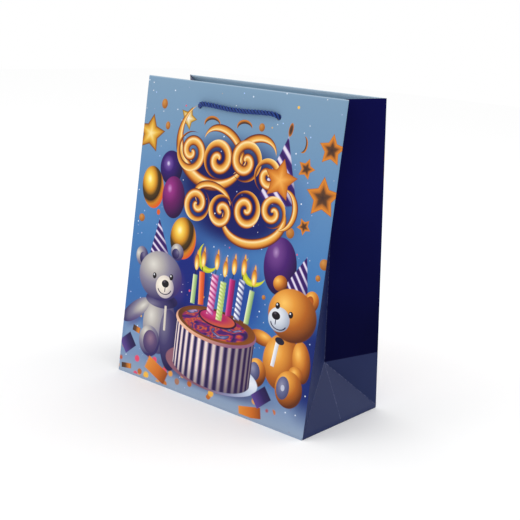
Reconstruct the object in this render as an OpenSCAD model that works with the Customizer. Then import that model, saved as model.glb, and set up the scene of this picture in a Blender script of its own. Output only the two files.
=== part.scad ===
// Paper gift bag: two leaning panels, two pleated sides, a glued block bottom and two rope handles.
// Origin at the middle of the bottom, +Z up, the printed front towards -Y, millimetres.

/* [Bag] */
// Width of the front and back panels
bag_w = 260; // [200:1:320]
// Depth of the bottom from front to back
bag_d = 127; // [110:1:150]
// Height of the standing bag
bag_h = 324; // [260:1:400]
// How far the top of each panel leans inward
panel_lean = 32; // [20:1:38]

/* [Side pleats] */
// How far the apex above the bottom triangle is pushed in
apex_push = 26; // [15:1:35]
// Height of that apex
apex_h = 58; // [50:1:62]
// How far the top of the centre crease is pushed in
top_push = 36; // [20:1:45]
// How far the middle of the mouth's side edge dips
top_dip = 4; // [2:1:8]

/* [Paper and board] */
// Thickness of the laminated paper
paper_t = 0.4; // [0.3:0.05:0.5]
// Thickness of the card strips in the hems
card_t = 1; // [0.6:0.1:1.4]
// Thickness of the loose base board
board_t = 1.2; // [0.8:0.1:1.6]
// Depth of the turned-in hem at the mouth
hem_depth = 40; // [30:1:50]
// Height of the card strips
card_h = 34; // [26:1:38]
// How far each glued bottom flap reaches past the middle
flap_lap = 12; // [8:1:20]
// Width of the glue flap on the back seam
seam_w = 15; // [10:1:20]

/* [Handles] */
// Diameter of the twisted rope
rope_d = 5; // [4:0.5:5.5]
// Distance between the two holes of a handle
hole_spacing = 104; // [100:1:108]
// Distance from the mouth's edge down to the rope's outer stretch
rope_drop = 22; // [20:1:26]
// Diameter of the punched holes
hole_d = 6; // [5.5:0.1:7]
// Diameter of a knot
knot_d = 11.6; // [10:0.2:12]

/* [Hidden] */

print_blue = [0.42, 0.60, 0.78];
side_navy = [0.08, 0.07, 0.33];
side_slate = [0.21, 0.26, 0.42];
lining_white = [0.90, 0.91, 0.93];
greyboard = [0.62, 0.60, 0.57];
rope_blue = [0.10, 0.22, 0.62];

lean = atan(panel_lean / bag_h);
panel_len = bag_h / cos(lean);
crease_v = bag_d / 2; // the back panel folds at half the bag's depth
stack_h = 3 * paper_t + board_t;
hinge_v = stack_h + 0.6; // the panels fold just above the layers of the bottom
fold_gap = 0.25; // air at a crease, so that the hinged sheets never meet
touch_gap = 0.15; // air between a pleat's edge and the sheet that it is glued to
side_x = bag_w / 2;
hem_in = paper_t + card_t; // the hem lies behind the card
wall_t = hem_in + paper_t;
rope_v = panel_len - rope_drop;
hole_v = rope_v - 2.5; // the rope dips as it enters its hole
hole_x = hole_spacing / 2;
rope_out = rope_d / 2 + 0.8; // the rope's axis stands this far off the panel
rope_sides = 10;
knot_len = 11;
stub_len = 8;

// Half a handle's outer stretch, from the middle: how far along, and how far it sags
stretch = [[0, -3], [11, -2.6], [22, -1.5], [32, -0.4], [42.2, 0]];
// A rope's tail from the stretch, through the hole at x = 52 and down inside: x, depth, height
tail_start = [[42.5, -3.3, 0], [44, -3.3, 0], [47.2, -2.8, -0.3], [50, -1.3, -1.2], [52, 1, -2.5],
    [53.4, 3.3, -4.5], [54.2, 4.7, -7.3], [54.5, 5.3, -10.5]];
// The front rope's tails hang a little towards the middle, the back rope's a little outwards
tail_in = [[54.2, 5.7, -15], [53, 6.5, -23], [50.5, 7.6, -34], [48, 8.8, -46],
    [46.5, 9.8, -56], [46, 10.8, -66]];
tail_out = [[54.8, 5.7, -15], [56, 6.5, -23], [58.5, 7.6, -34], [61, 8.8, -46],
    [62.5, 9.8, -56], [63, 10.8, -66]];

// ---- frames of the two leaning panels: x across, y inward from the outer face, z up the panel

module front_frame() {
    translate([0, -bag_d / 2, 0])
        rotate([-lean, 0, 0])
            children();
}

module back_frame() {
    mirror([0, 1, 0])
        front_frame()
            children();
}

// ---- shared shapes

// A sheet of paper: outer corners clockwise seen from outside, pushed through by its thickness
module sheet(corners, through) {
    n = len(corners);
    last = [for (i = [0:n - 1]) corners[i] + through];
    outer = [for (i = [1:n - 2]) [0, i, i + 1]];
    inner = [for (i = [1:n - 2]) [n, n + i + 1, n + i]];
    rim = [for (i = [0:n - 1]) [i + n, (i + 1) % n + n, (i + 1) % n, i]];
    polyhedron(points = concat(corners, last), faces = concat(outer, inner, rim), convexity = 4);
}

function unit(v) = v / norm(v);
function heading(route, i) = unit(route[min(i + 1, len(route) - 1)] - route[max(i - 1, 0)]);
function ring(centre, along) =
    let (a = unit(cross(along, [0, 1, 0])), b = cross(along, a))
    [for (k = [0:rope_sides - 1])
        centre + rope_d / 2 * (cos(360 * k / rope_sides) * a + sin(360 * k / rope_sides) * b)];

// A round rope swept along a route, one ring at each of the route's points
module rope(route) {
    n = rope_sides;
    m = len(route);
    rings = [for (i = [0:m - 1]) each ring(route[i], heading(route, i))];
    first_cap = [[for (k = [0:n - 1]) n - 1 - k]];
    last_cap = [[for (k = [0:n - 1]) (m - 1) * n + k]];
    wall = [for (i = [0:m - 2]) for (k = [0:n - 1])
        let (p = i * n + k, q = i * n + (k + 1) % n)
        each [[p, q, p + n], [q, q + n, p + n]]];
    polyhedron(points = rings, faces = concat(first_cap, last_cap, wall), convexity = 6);
}

module rope_holes(depth) {
    for (side = [-1, 1])
        translate([side * hole_x, -1, hole_v])
            rotate([-90, 0, 0])
                cylinder(h = depth + 2, d = hole_d, $fn = 48);
}

module plate(half_w, from_y, to_y, from_v, to_v) {
    translate([-half_w, from_y, from_v])
        cube([2 * half_w, to_y - from_y, to_v - from_v]);
}

module printed_panel(from_v) {
    difference() {
        plate(side_x, 0, paper_t, from_v, panel_len);
        rope_holes(wall_t);
    }
}

// The turned-in edge: over the top of the card and down behind it
module hem() {
    difference() {
        union() {
            plate(side_x - 1.6, hem_in, wall_t, panel_len - hem_depth, panel_len);
            plate(side_x - 1.6, paper_t, wall_t, panel_len - paper_t, panel_len);
        }
        rope_holes(wall_t);
    }
}

module stiffener() {
    difference() {
        plate(side_x - 3, paper_t, hem_in, panel_len - paper_t - card_h, panel_len - paper_t);
        rope_holes(wall_t);
    }
}

// A route lifted to the rope's height, on the right (1) or mirrored to the left (-1)
function placed(route, side) = [for (p = route) [side * p[0], p[1], p[2] + rope_v]];

module handle_stretch() {
    half = [for (p = stretch) [p[0], -rope_out, p[1] + rope_v]];
    n = len(half);
    rope([for (i = [1 - n:n - 1]) [sign(i) * half[abs(i)][0], half[0][1], half[abs(i)][2]]]);
}

module tail(points, side) {
    rope(placed(concat(tail_start, points), side));
}

// An overhand knot's outer form, with the rope's short end below it
module knot(points, side) {
    end = placed(points, side)[len(points) - 1];
    r = rope_d / 2;
    bulge = knot_d / 2 - r;
    steps = 12;
    side_line = [for (i = [0:steps])
        [r + bulge * sin(180 * i / steps), -knot_len * i / steps]];
    translate(end)
        rotate([lean, 0, 0])
            rotate_extrude($fn = 48)
                polygon(concat([[0, 0]], side_line,
                    [[r, -knot_len - stub_len], [0, -knot_len - stub_len]]));
}

// ---- corners of the right-hand side

// The glued edges at a height v up the panels
function front_edge(v, inset) =
    [side_x, -bag_d / 2 + v * sin(lean) + inset * cos(lean), v * cos(lean) - inset * sin(lean)];
function back_edge(v, inset) =
    let (p = front_edge(v, inset)) [p[0], -p[1], p[2]];
// The centre crease, from the apex (0) to the mouth (1)
function crease(t) =
    [side_x - apex_push - t * (top_push - apex_push), 0, apex_h + t * (bag_h - top_dip - apex_h)];
skin = paper_t + touch_gap;
through = [-paper_t * 1.08, 0, 0]; // the pleats slope, so this is square to them by paper_t
// A pleat's own turned-in hem lies this far inside the pleat
hem_shift = [-3 * paper_t, 0, 0];
hem_t = 1 - hem_depth / (bag_h - top_dip - apex_h);
hem_start = 0.08; // its share of the way from the glued edge to the crease
function hem_corner(edge, t) = (1 - hem_start) * edge + hem_start * crease(t) + hem_shift;

module right_half_front() {
    sheet([front_edge(panel_len, skin), crease(1), crease(0), front_edge(hinge_v, skin)], through);
}

module right_half_back() {
    sheet([crease(0) + [0, 0.2, 0.3], crease(1) + [0, 0.2, 0], back_edge(panel_len, skin),
        back_edge(crease_v + 0.3, skin)], through);
}

module right_corner() {
    sheet([crease(0) + [0, 0.3, 0], back_edge(crease_v, skin), back_edge(hinge_v, skin)], through);
}

module right_triangle() {
    sheet([front_edge(0.4, skin + 0.4), crease(0) - [0, 0, 0.6], back_edge(0.4, skin + 0.4)], through);
}

module right_hem_front() {
    sheet([hem_corner(front_edge(panel_len - hem_depth, skin), hem_t),
        hem_corner(front_edge(panel_len, skin), 1), crease(1) + hem_shift, crease(hem_t) + hem_shift],
        through);
}

module right_hem_back() {
    apart = [0, 0.2, 0];
    sheet([crease(hem_t) + hem_shift + apart, crease(1) + hem_shift + apart,
        hem_corner(back_edge(panel_len, skin), 1),
        hem_corner(back_edge(panel_len - hem_depth, skin), hem_t)], through);
}

module left_side() {
    mirror([1, 0, 0])
        children();
}

// ---- front

module front_panel() {
    color(print_blue)
        front_frame() printed_panel(hinge_v);
}

module front_hem() {
    color(print_blue)
        front_frame() hem();
}

module front_stiffener() {
    color(greyboard)
        front_frame() stiffener();
}

// ---- back

module back_panel() {
    color(print_blue)
        back_frame() printed_panel(crease_v + fold_gap / 2);
}

module back_hem() {
    color(print_blue)
        back_frame() hem();
}

module back_stiffener() {
    color(greyboard)
        back_frame() stiffener();
}

module back_panel_foot() {
    color(print_blue)
        back_frame() plate(side_x, 0, paper_t, hinge_v, crease_v - fold_gap / 2);
}

module seam_strip(from_v, to_v) {
    translate([1 - side_x, paper_t, from_v])
        cube([seam_w, paper_t, to_v - from_v]);
}

module seam_flap() {
    color(side_navy)
        back_frame() seam_strip(crease_v + 1, panel_len - hem_depth - 1);
}

module seam_flap_foot() {
    color(side_navy)
        back_frame() seam_strip(hinge_v + 6, crease_v - 1);
}

// ---- bottom

// The panel's lowest strip, below the fold, stays with the bottom: its section, from outside to in
lip_v = hinge_v - fold_gap;
lip_foot_v = paper_t * (1 + sin(lean)) / cos(lean);
function lip_point(y, v) = [-bag_d / 2 + y * cos(lean) + v * sin(lean), v * cos(lean) - y * sin(lean)];
lip_section = [lip_point(paper_t, lip_foot_v), lip_point(paper_t, lip_v), lip_point(0, lip_v),
    [-bag_d / 2, 0]];

// A flap drawn by its section from back to front, then cut to its outline
module flap(section) {
    rotate([90, 0, 90])
        linear_extrude(bag_w - 1.2, center = true)
            polygon(section);
}

module front_base_flap() {
    color(print_blue)
        intersection() {
            flap(concat([[flap_lap, 0], [flap_lap, paper_t]], lip_section));
            linear_extrude(stack_h + 2)
                polygon([[-side_x, -bag_d], [side_x, -bag_d], [side_x, 0],
                    [side_x - flap_lap, flap_lap], [flap_lap - side_x, flap_lap], [-side_x, 0]]);
        }
}

// The back flap steps over the front flap's free edge
module back_base_flap() {
    step = -flap_lap - 0.6;
    color(print_blue)
        mirror([0, 1, 0])
            flap(concat([[step - 1, 0], [step, paper_t], [flap_lap, paper_t],
                [flap_lap, 2 * paper_t], [step - 0.4, 2 * paper_t], [step - 1.4, paper_t]],
                lip_section));
}

module dust_flap() {
    outer_y = bag_d / 2 - 2;
    inner_y = outer_y - 12;
    inner_x = side_x - bag_d / 2 + 4;
    translate([0, 0, 2 * paper_t])
        linear_extrude(paper_t)
            polygon([[side_x - 1.5, -outer_y], [side_x - 1.5, outer_y],
                [inner_x, inner_y], [inner_x, -inner_y]]);
}

module right_dust_flap() {
    color(side_navy) dust_flap();
}

module left_dust_flap() {
    color(side_navy) left_side() dust_flap();
}

module base_board() {
    corner_r = 3;
    half_x = side_x - 3;
    half_y = bag_d / 2 - 2;
    color(greyboard)
        translate([0, 0, 3 * paper_t])
            linear_extrude(board_t)
                union() {
                    square([2 * (half_x - corner_r), 2 * half_y], center = true);
                    square([2 * half_x, 2 * (half_y - corner_r)], center = true);
                    for (x = [-1, 1], y = [-1, 1])
                        translate([x * (half_x - corner_r), y * (half_y - corner_r)])
                            circle(r = corner_r, $fn = 32);
                }
}

// ---- pleated sides

module right_pleat_front() {
    color(side_navy) right_half_front();
}

module right_pleat_back() {
    color(side_navy) right_half_back();
}

module right_pleat_corner() {
    color(side_slate) right_corner();
}

module right_pleat_triangle() {
    color(side_slate) right_triangle();
}

module right_pleat_hem_front() {
    color(side_navy) right_hem_front();
}

module right_pleat_hem_back() {
    color(side_navy) right_hem_back();
}

module left_pleat_front() {
    color(side_navy) left_side() right_half_front();
}

module left_pleat_back() {
    color(side_navy) left_side() right_half_back();
}

module left_pleat_corner() {
    color(side_slate) left_side() right_corner();
}

module left_pleat_triangle() {
    color(side_slate) left_side() right_triangle();
}

module left_pleat_hem_front() {
    color(side_navy) left_side() right_hem_front();
}

module left_pleat_hem_back() {
    color(side_navy) left_side() right_hem_back();
}

// ---- rope handles

module front_handle_rope() {
    color(rope_blue) front_frame() handle_stretch();
}

module front_rope_tail_left() {
    color(rope_blue) front_frame() tail(tail_in, -1);
}

module front_rope_tail_right() {
    color(rope_blue) front_frame() tail(tail_in, 1);
}

module front_knot_left() {
    color(rope_blue) front_frame() knot(tail_in, -1);
}

module front_knot_right() {
    color(rope_blue) front_frame() knot(tail_in, 1);
}

module back_handle_rope() {
    color(rope_blue) back_frame() handle_stretch();
}

module back_rope_tail_left() {
    color(rope_blue) back_frame() tail(tail_out, -1);
}

module back_rope_tail_right() {
    color(rope_blue) back_frame() tail(tail_out, 1);
}

module back_knot_left() {
    color(rope_blue) back_frame() knot(tail_out, -1);
}

module back_knot_right() {
    color(rope_blue) back_frame() knot(tail_out, 1);
}

front_panel();
front_hem();
front_stiffener();
back_panel();
back_hem();
back_stiffener();
back_panel_foot();
seam_flap();
seam_flap_foot();
front_base_flap();
back_base_flap();
left_dust_flap();
right_dust_flap();
base_board();
right_pleat_front();
right_pleat_back();
right_pleat_corner();
right_pleat_triangle();
right_pleat_hem_front();
right_pleat_hem_back();
left_pleat_front();
left_pleat_back();
left_pleat_corner();
left_pleat_triangle();
left_pleat_hem_front();
left_pleat_hem_back();
front_handle_rope();
front_rope_tail_left();
front_rope_tail_right();
front_knot_left();
front_knot_right();
back_handle_rope();
back_rope_tail_left();
back_rope_tail_right();
back_knot_left();
back_knot_right();
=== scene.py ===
"""A printed paper gift bag with pleated sides and two rope handles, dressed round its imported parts."""
import math

import bpy
from mathutils import Matrix, Quaternion, Vector, noise


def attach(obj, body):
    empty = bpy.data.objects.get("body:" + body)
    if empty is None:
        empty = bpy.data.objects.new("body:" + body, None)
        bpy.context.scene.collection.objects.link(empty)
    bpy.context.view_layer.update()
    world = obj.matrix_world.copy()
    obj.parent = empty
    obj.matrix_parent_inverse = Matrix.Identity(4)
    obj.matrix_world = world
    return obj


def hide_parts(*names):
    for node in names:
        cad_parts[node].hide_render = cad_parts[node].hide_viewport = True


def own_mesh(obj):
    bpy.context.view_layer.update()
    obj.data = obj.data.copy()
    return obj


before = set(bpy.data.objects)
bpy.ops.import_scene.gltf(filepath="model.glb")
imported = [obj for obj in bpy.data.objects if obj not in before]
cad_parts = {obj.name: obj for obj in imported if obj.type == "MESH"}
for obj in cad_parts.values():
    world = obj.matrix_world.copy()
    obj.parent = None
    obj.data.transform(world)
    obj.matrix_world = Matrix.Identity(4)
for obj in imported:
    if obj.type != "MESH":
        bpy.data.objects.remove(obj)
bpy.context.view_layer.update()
bpy.ops.object.select_all(action="DESELECT")

# ---- sizes in millimetres

MM = 0.001
HALF_WIDTH = 130
HALF_DEPTH = 63.5
HEIGHT = 324
TOP_LEAN = 32  # how far the top of each panel leans inward
LEAN = math.atan2(TOP_LEAN, HEIGHT)
SIN, COS = math.sin(LEAN), math.cos(LEAN)
PANEL_LENGTH = HEIGHT / COS
FOLD_UP = 3.0  # the panels fold this far above the bottom
LEVEL_UP = 63.5  # the level crease across the back panel
PAPER = 0.4
WALL = 1.8  # paper, card and turned-in paper at the mouth
HEM = 40
EDGE_TURN = 0.6  # the fold's radius along the glued edges
APEX = (104, 0, 58)
MOUTH = (94, 0, 320)
ROPE_UP = PANEL_LENGTH - 22
HOLE_X = 52
HOLE_UP = ROPE_UP - 2.5
ROPE_OUT = 3.3

FRONT, BACK = -1, 1


def panel_point(side, x, up, out):
    """A point on a leaning panel: across, up the panel and out from its outer face."""
    depth = HALF_DEPTH - up * SIN + out * COS
    return Vector((x, side * depth, up * COS + out * SIN))


def panel_normal(side):
    return Vector((0, side * COS, SIN))


# ---- materials


def linear(hex_colour):
    """An sRGB colour such as "5e93c4" as linear red, green, blue and alpha."""
    parts = [int(hex_colour[i:i + 2], 16) / 255 for i in (0, 2, 4)]
    return (*(c / 12.92 if c <= 0.04045 else ((c + 0.055) / 1.055) ** 2.4 for c in parts), 1)


def add(tree, kind, *feeds, **settings):
    """Adds a node such as "Mapping" or "Math ADD" and feeds its inputs in order, from nodes or values."""
    kind, _, operation = kind.partition(" ")
    node = tree.nodes.new("ShaderNode" + kind)
    if operation:
        node.operation = operation
    stops = settings.pop("stops", None)
    named = settings.pop("named", {})
    for key, value in settings.items():
        setattr(node, key, value)
    if stops:
        ramp = node.color_ramp.elements
        while len(ramp) < len(stops):
            ramp.new(0.5)
        for element, (place, colour) in zip(ramp, stops):
            element.position, element.color = place, linear(colour)
    sockets = [s for s in node.inputs if s.enabled]
    pairs = [*zip(sockets, feeds), *((node.inputs[name], value) for name, value in named.items())]
    for socket, value in pairs:
        if isinstance(value, bpy.types.Node):
            value = next(s for s in value.outputs if s.enabled)
        if isinstance(value, bpy.types.NodeSocket):
            tree.links.new(value, socket)
        elif isinstance(value, str):
            socket.default_value = linear(value)
        elif value is not None:
            socket.default_value = value
    return node


def new_material(name, places="Object"):
    """A bare material, its nodes, and the place on the piece that its textures read."""
    material = bpy.data.materials.new(name)
    material.use_nodes = True
    tree = material.node_tree
    tree.nodes.clear()
    return material, tree, add(tree, "TexCoord").outputs[places]


def finish_material(tree, colour, bump=None, roughness=None, **constants):
    """Joins the colour, bump and roughness to one shader, whose constants sit on its own sockets."""
    named = {"Base Color": colour}
    if bump is not None:
        named["Normal"] = bump
    if roughness is not None:
        named["Roughness"] = roughness
    named.update({key.replace("_", " "): value for key, value in constants.items()})
    shader = add(tree, "BsdfPrincipled", named=named)
    add(tree, "OutputMaterial", shader)


def paper_bump(tree, where, grain, strength):
    """Felted fibres, about half a millimetre apart, that just roughen the paper's face."""
    fibres = add(tree, "TexNoise", where, named={"Scale": grain, "Detail": 4.0, "Roughness": 0.6})
    return add(tree, "Bump", named={"Strength": strength, "Distance": 0.00006, "Height": fibres})


def finish_filmed_paper(tree, where, colour, roughness, gloss):
    """The thin film over the print: smooth, with a soft sheen."""
    finish_material(tree, colour, paper_bump(tree, where, 1900.0, 0.25), roughness, IOR=1.5,
                    Specular_IOR_Level=gloss)


def side_paper(name, low, high, gloss):
    """Art paper printed solid navy under a gloss film, deep and sheeny, cracked along its creases; each
    copy holds painted shading for its part of the side, running from low at the foot to high at the mouth,
    with less gloss on the darker copy.
    """
    material, tree, where = new_material(name)
    mottle = add(tree, "TexNoise", where, named={"Scale": 9.0, "Detail": 3.0})
    axes = add(tree, "SeparateXYZ", where)
    y = add(tree, "Math ABSOLUTE", axes.outputs["Y"])
    z = axes.outputs["Z"]
    # The colour runs from low at the foot to high at the mouth as painted shading for how light falls up
    # the side, and the ink's tone drifts a little from place to place
    cloudy = add(tree, "Math MULTIPLY_ADD", mottle, 0.5, add(tree, "Math MULTIPLY", z, 1 / (HEIGHT * MM)))
    base = add(tree, "ValToRGB", cloudy, stops=[(0.25, low), (1.0, high)])
    # The diagonal creases run from the apex of the triangle to the bottom's corners
    fall = (APEX[2] - FOLD_UP) / (HALF_DEPTH - FOLD_UP * SIN)
    slope = add(tree, "Math MULTIPLY_ADD", y, fall, -APEX[2] * MM)
    diagonal = add(tree, "Math ABSOLUTE", add(tree, "Math ADD", z, slope))
    rough_edge = add(tree, "TexNoise", where, named={"Scale": 420.0, "Detail": 3.0, "Roughness": 0.7})
    wear = add(tree, "MapRange", diagonal, 0.0, 0.0009, 1.0, 0.0, interpolation_type="SMOOTHSTEP")
    centre = add(tree, "MapRange", y, 0.0, 0.0007, 1.0, 0.0, interpolation_type="SMOOTHSTEP")
    worn = add(tree, "Math MAXIMUM", wear, centre)
    cracked = add(tree, "MapRange", rough_edge, 0.4, 0.75, 0.0, 1.0)
    amount = add(tree, "Math MULTIPLY", worn, cracked)
    amount = add(tree, "Math MULTIPLY", amount, 0.45)
    colour = add(tree, "Mix", amount, base, "8d93b8", data_type="RGBA")
    rough = add(tree, "MapRange", mottle, 0.0, 1.0, 0.3, 0.42)
    finish_filmed_paper(tree, where, colour, rough, gloss)
    return material


def white_paper():
    """Bleached kraft, uncoated: chalky white with a faint cloudy formation and no gloss."""
    material, tree, where = new_material("uncoated_white_kraft_paper")
    cloud = add(tree, "TexNoise", where, named={"Scale": 140.0, "Detail": 5.0, "Roughness": 0.65})
    colour = add(tree, "ValToRGB", cloud, stops=[(0.3, "d3d7e0"), (0.75, "eef0f4")])
    finish_material(tree, colour, paper_bump(tree, where, 1300.0, 0.5), Roughness=0.85,
                    Specular_IOR_Level=0.25)
    return material


def cut_edge():
    """The paper's cut edge: a pale core with a bluish burr of ink."""
    material, tree, where = new_material("cut_paper_edge")
    burr = add(tree, "TexNoise", where, named={"Scale": 900.0, "Detail": 3.0})
    colour = add(tree, "ValToRGB", burr, stops=[(0.35, "8f9ab4"), (0.65, "dfe3ea")])
    finish_material(tree, colour, paper_bump(tree, where, 2200.0, 0.5), Roughness=0.8)
    return material


def greyboard():
    """Recycled grey board: mid grey with short dark and pale fibres, dead matt."""
    material, tree, where = new_material("recycled_greyboard")
    flecks = add(tree, "TexNoise", where, named={"Scale": 650.0, "Detail": 6.0, "Roughness": 0.8})
    colour = add(tree, "ValToRGB", flecks, stops=[(0.3, "77736c"), (0.5, "a39e95"), (0.72, "bfbab0")])
    finish_material(tree, colour, paper_bump(tree, where, 900.0, 0.8), Roughness=0.95,
                    Specular_IOR_Level=0.2)
    return material


def twisted_rope():
    """Twisted polypropylene cord: royal blue strands, fine filaments along their lay and painted shade in
    the grooves.
    """
    material, tree, uv = new_material("twisted_polypropylene_cord", "UV")
    # Filaments about 0.25 mm wide, drawn a little coarse, run along each strand
    lay = add(tree, "Mapping", uv, named={"Scale": (26.0, 1.4, 1.0), "Rotation": (0.0, 0.0, 0.25)})
    filaments = add(tree, "TexNoise", lay, named={"Scale": 1.0, "Detail": 3.0, "Roughness": 0.6})
    blues = [(0.3, "081f5c"), (0.55, "143a88"), (0.8, "3462b0")]
    colour = add(tree, "ValToRGB", filaments, stops=blues)
    # Across each strand the map runs from 0 in the groove to 1 on the crown; the grooves get a painted
    # shade of near-black navy that fades out towards the crown
    crown = add(tree, "MapRange", add(tree, "SeparateXYZ", uv), 0.5, 0.85, 0.0, 1.0)
    colour = add(tree, "Mix", crown, "030a30", colour, data_type="RGBA")
    bump = add(tree, "Bump", named={"Strength": 0.7, "Distance": 0.00025, "Height": filaments})
    finish_material(tree, colour, bump, Roughness=0.42, IOR=1.49, Specular_IOR_Level=0.3)
    return material


# ---- the printed picture: a party, in millimetres across from the panel's middle and up from its foot

INK = "120c3a"
GOLD_STROKE = [(0.0, INK), (0.08, "6e2a08"), (0.2, "d07a24"), (0.36, "f4dca0"), (0.5, "e8b458"),
               (0.74, "d0822c"), (0.9, "7a340c"), (1.0, INK)]
GOLD_BALL = [(0.0, "fff3b8"), (0.16, "f3cc50"), (0.4, "c8861c"), (0.56, "4a3410"), (0.72, "2c1c0c"),
             (0.84, "c47a1c"), (1.0, "d8541c")]
GOLD_STAR = [(0.0, "f4e09a"), (0.45, "e0b040"), (0.8, "b87a20"), (0.93, "7a4410"), (1.0, "4a2408")]
ORANGE_STAR = [(0.0, "3e2a26"), (0.4, "5e3c26"), (0.62, "b86c28"), (0.86, "d8842c"), (1.0, "7a3a14")]
BRIGHT_STAR = [(0.0, "f0b058"), (0.5, "d88a34"), (0.86, "c06c20"), (1.0, "7a3410")]
PALE_STAR = [(0.0, "ece6dc"), (0.4, "e0cc98"), (0.75, "c89a34"), (1.0, "5a3410")]
HAT = [(0.0, "2e1458"), (0.62, "4a2a78"), (0.76, "b0a0c8"), (1.0, "e2dae8")]
GREY_COAT = [(0.0, "d6d2ca"), (0.25, "b2aca8"), (0.55, "807a90"), (1.0, "342a60")]
GREY_DARK = [(0.0, "76708c"), (0.5, "403868"), (1.0, "1e1848")]
GOLD_COAT = [(0.0, "f4c060"), (0.3, "dc9238"), (0.65, "ab5c1c"), (1.0, "5c2a12")]
SOLE = [(0.0, "8c8ca6"), (0.5, "5d6086"), (1.0, "3a3c64")]
MUZZLE = [(0.0, "f6efe0"), (0.5, "dfd4c8"), (1.0, "a89cac")]
COOL_MUZZLE = [(0.0, "eef0f2"), (0.5, "c8ced8"), (1.0, "8f98ac")]
PLATE = [(0.0, "e4e8f0"), (0.4, "b9c6dc"), (0.75, "8f8fb4"), (1.0, "8a5a6a")]
FLUTES = [(0.0, "1c1640"), (0.25, "3c3468"), (0.55, "9a86a4"), (0.85, "e2ccc8"), (1.0, "f2e2d8")]
CAKE_RIM = [(0.0, "f0c0a0"), (0.5, "d89a7c"), (1.0, "8c5a78")]
CHOCOLATE = [(0.0, "8c5020"), (0.5, "5a3014"), (1.0, "824618")]
GLAZE = [(0.3, "2a1450"), (0.4, "4c2070"), (0.46, "8c1c58"), (0.52, "c85a2c"), (0.57, "5a1c60"),
         (0.64, "3a6090"), (0.72, "b090b8")]
JAM = [(0.0, "c83c80"), (0.5, "a81c58"), (1.0, "c85a34")]
FLAME = [(0.0, "fff4d0"), (0.3, "f4d070"), (0.6, "dc9430"), (1.0, "a8541c")]
BURNT = [(0.0, "8c6f86"), (0.5, "5a4670"), (1.0, "32285a")]
RUST = [(0.0, "c0601c"), (1.0, "8a3a14")]
NOSE = [(0.0, "5a5460"), (0.3, "1c181e"), (1.0, "0c0a10")]
VIOLET = [(0.0, "d8ccec"), (0.12, "6a4a98"), (0.35, "341668"), (0.75, "1a0b44"), (1.0, "120830")]
MAGENTA = [(0.0, "c884c4"), (0.16, "8e2c7c"), (0.5, "64165c"), (0.85, "3c0e48"), (1.0, "26083a")]
PLUM = [(0.0, "a884b8"), (0.16, "6a3c84"), (0.5, "441a68"), (0.85, "2c104c"), (1.0, "1c0838")]
LEAF = [(0.0, "8a9a1c"), (0.5, "d8d83a"), (1.0, "9aa81c")]
PALE_WAX = [(0.0, "eef2c8"), (0.35, "b8cf8c"), (1.0, "5f8a60")]
ORANGE_WAX = [(0.0, "f8a070"), (0.4, "e8622c"), (1.0, "a83c1c")]
PINK_WAX = [(0.0, "e05aa0"), (0.4, "b01c6c"), (1.0, "6a1050")]
WHITE_WAX = [(0.0, "ffffff"), (0.5, "d8dcec"), (1.0, "8a90b8")]
ROSE_WAX = [(0.0, "ffd8e8"), (0.5, "e8a0c8"), (1.0, "8a3c90")]
LIME_WAX = [(0.0, "f4f6c0"), (0.5, "c4d488"), (1.0, "7a9a58")]
WARM_BITS = [(0.0, "f0c050"), (0.3, "e08a2c"), (0.55, "f4e8d8"), (0.8, "e04a6a")]
PALE_BITS = [(0.0, "dfe8f8"), (0.4, "f8d8a0"), (0.7, "f0b0c0"), (1.0, "9fc0f0")]
TABLE_BITS = [(0.0, "c87830"), (0.3, "9c4a24"), (0.5, "4a3080"), (0.7, "b04030"), (0.85, "e0a050"),
              (1.0, "382868")]
ORANGE_BOX = [(0.0, "e08c38"), (0.6, "c86a24"), (1.0, "8a4018")]
VIOLET_BOX = [(0.0, "5c4490"), (0.6, "2e2058"), (1.0, "1c1440")]
DOT = [(0.0, "c88a48"), (0.6, "ae6c2a"), (1.0, "8f5420")]
SKY = [(0.0, "93a4ba"), (0.09, "6c86ae"), (0.14, "3c68a4"), (0.3, "3668a6"), (0.5, "4478b0"),
       (0.7, "5c86b2"), (0.85, "6e90b0"), (1.0, "7896b0")]
PALETTES = {}


def shaded(tree, tone, stops):
    """The colour of a tone between 0 and 1 on a palette; each palette is one small group."""
    key = tuple(stops)
    if key not in PALETTES:
        palette = bpy.data.node_groups.new("palette", "ShaderNodeTree")
        palette.interface.new_socket("Tone", in_out="INPUT", socket_type="NodeSocketFloat")
        palette.interface.new_socket("Colour", in_out="OUTPUT", socket_type="NodeSocketColor")
        source = palette.nodes.new("NodeGroupInput")
        ramp = add(palette, "ValToRGB", source.outputs["Tone"], stops=stops)
        out = palette.nodes.new("NodeGroupOutput")
        palette.links.new(ramp.outputs["Color"], out.inputs["Colour"])
        PALETTES[key] = palette
    return add(tree, "Group", tone, node_tree=PALETTES[key])


def own_axes(tree, where, at, size, turn=0.0):
    """How far a place lies across and up a shape's own middle, in its half widths and half heights."""
    cosine, sine = math.cos(math.radians(turn)), math.sin(math.radians(turn))
    (x, y), (wide, tall) = at, size
    across = (cosine / wide, sine / wide, -(x * cosine + y * sine) / wide)
    up = (-sine / tall, cosine / tall, (x * sine - y * cosine) / tall)
    return [add(tree, "VectorMath DOT_PRODUCT", where, row) for row in (across, up)]


def from_middle(tree, x, y):
    return add(tree, "VectorMath LENGTH", add(tree, "CombineXYZ", x, y))


def step(tree, value, low, high, first, last):
    """A soft step: first below low and last above high."""
    return add(tree, "MapRange", value, low, high, first, last, interpolation_type="SMOOTHSTEP",
               clamp=False)


def lay_on(tree, canvas, mask, colour):
    """The canvas with a colour laid over it through a mask."""
    return add(tree, "Mix", mask, canvas, colour, data_type="RGBA")


def glow(tree, where, canvas, at, size, colour, strength, turn=0.0, core=0.2):
    """A soft pool of colour that fades out at its rim."""
    reach = from_middle(tree, *own_axes(tree, where, at, size, turn))
    return lay_on(tree, canvas, step(tree, reach, core, 1.0, strength, 0.0), colour)


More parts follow.
